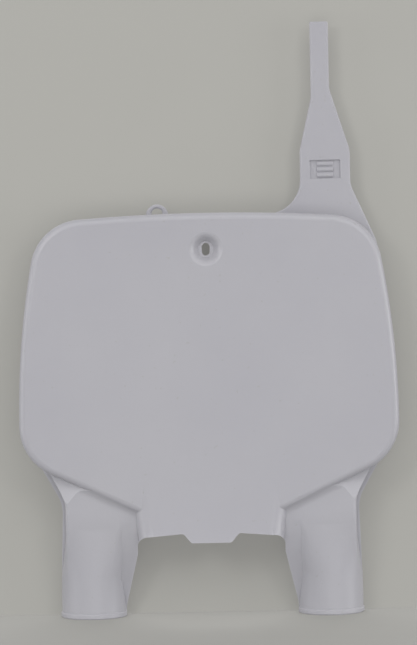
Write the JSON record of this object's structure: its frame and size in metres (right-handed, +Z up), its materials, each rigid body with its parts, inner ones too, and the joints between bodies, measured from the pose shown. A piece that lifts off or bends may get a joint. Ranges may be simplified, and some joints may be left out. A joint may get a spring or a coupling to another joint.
{
  "type": "racing number board",
  "caption": "Front number board for an off-road motorbike: thin white shell with a rolled rim, dished screw boss, half-round legs that clasp the fork tubes, and a strap.",
  "frame": {"origin": "middle of the screw slot, on the seat behind the dished boss", "axes": "+X to the viewer's right across the board, -Y the way the face looks, +Z up along the board"},
  "size_m": [0.3054, 0.0385, 0.4794],
  "materials": {
    "shell": "moulded white plastic with a satin sheen"
  },
  "bodies": {
    "root": {"number_board": "shell"}
  },
  "joints": []
}
